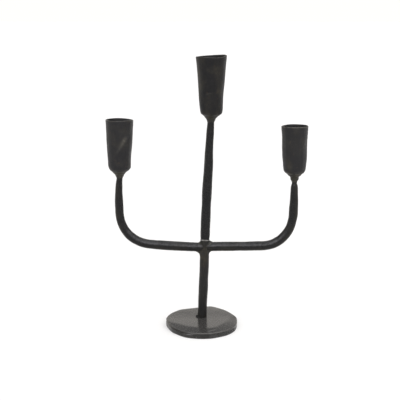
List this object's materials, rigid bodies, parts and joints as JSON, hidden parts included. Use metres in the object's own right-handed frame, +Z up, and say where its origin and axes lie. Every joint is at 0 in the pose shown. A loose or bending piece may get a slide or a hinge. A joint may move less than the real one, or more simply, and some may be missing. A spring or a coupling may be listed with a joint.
{
  "type": "tabletop candelabra",
  "caption": "Hand-forged iron table candelabra with a round hammered base, a leaning stem, upswept bent arms and tapered cups for dinner candles.",
  "frame": {"origin": "middle of the base plate's underside, on the table", "axes": "+Z up; the arms lie in a plane parallel to XZ, the higher side arm towards -X; -Y is the front"},
  "size_m": [0.2284, 0.0852, 0.3122],
  "materials": {
    "base_plate": "waxed dark grey forged iron, satin",
    "bars": "blackened forged iron, hammered, satin",
    "cups": "blackened iron sheet, lightly hammered, matt",
    "welds": "blackened weld metal, rough"
  },
  "bodies": {
    "root": {"base": "base_plate", "post": "bars", "spindle": "bars", "arm_left": "bars", "arm_right": "bars", "cup_left": "cups", "cup_centre": "cups", "cup_right": "cups", "neck_weld_left": "welds", "neck_weld_centre": "welds", "neck_weld_right": "welds", "arm_weld_left": "welds", "arm_weld_right": "welds", "foot_weld": "welds"}
  },
  "joints": []
}
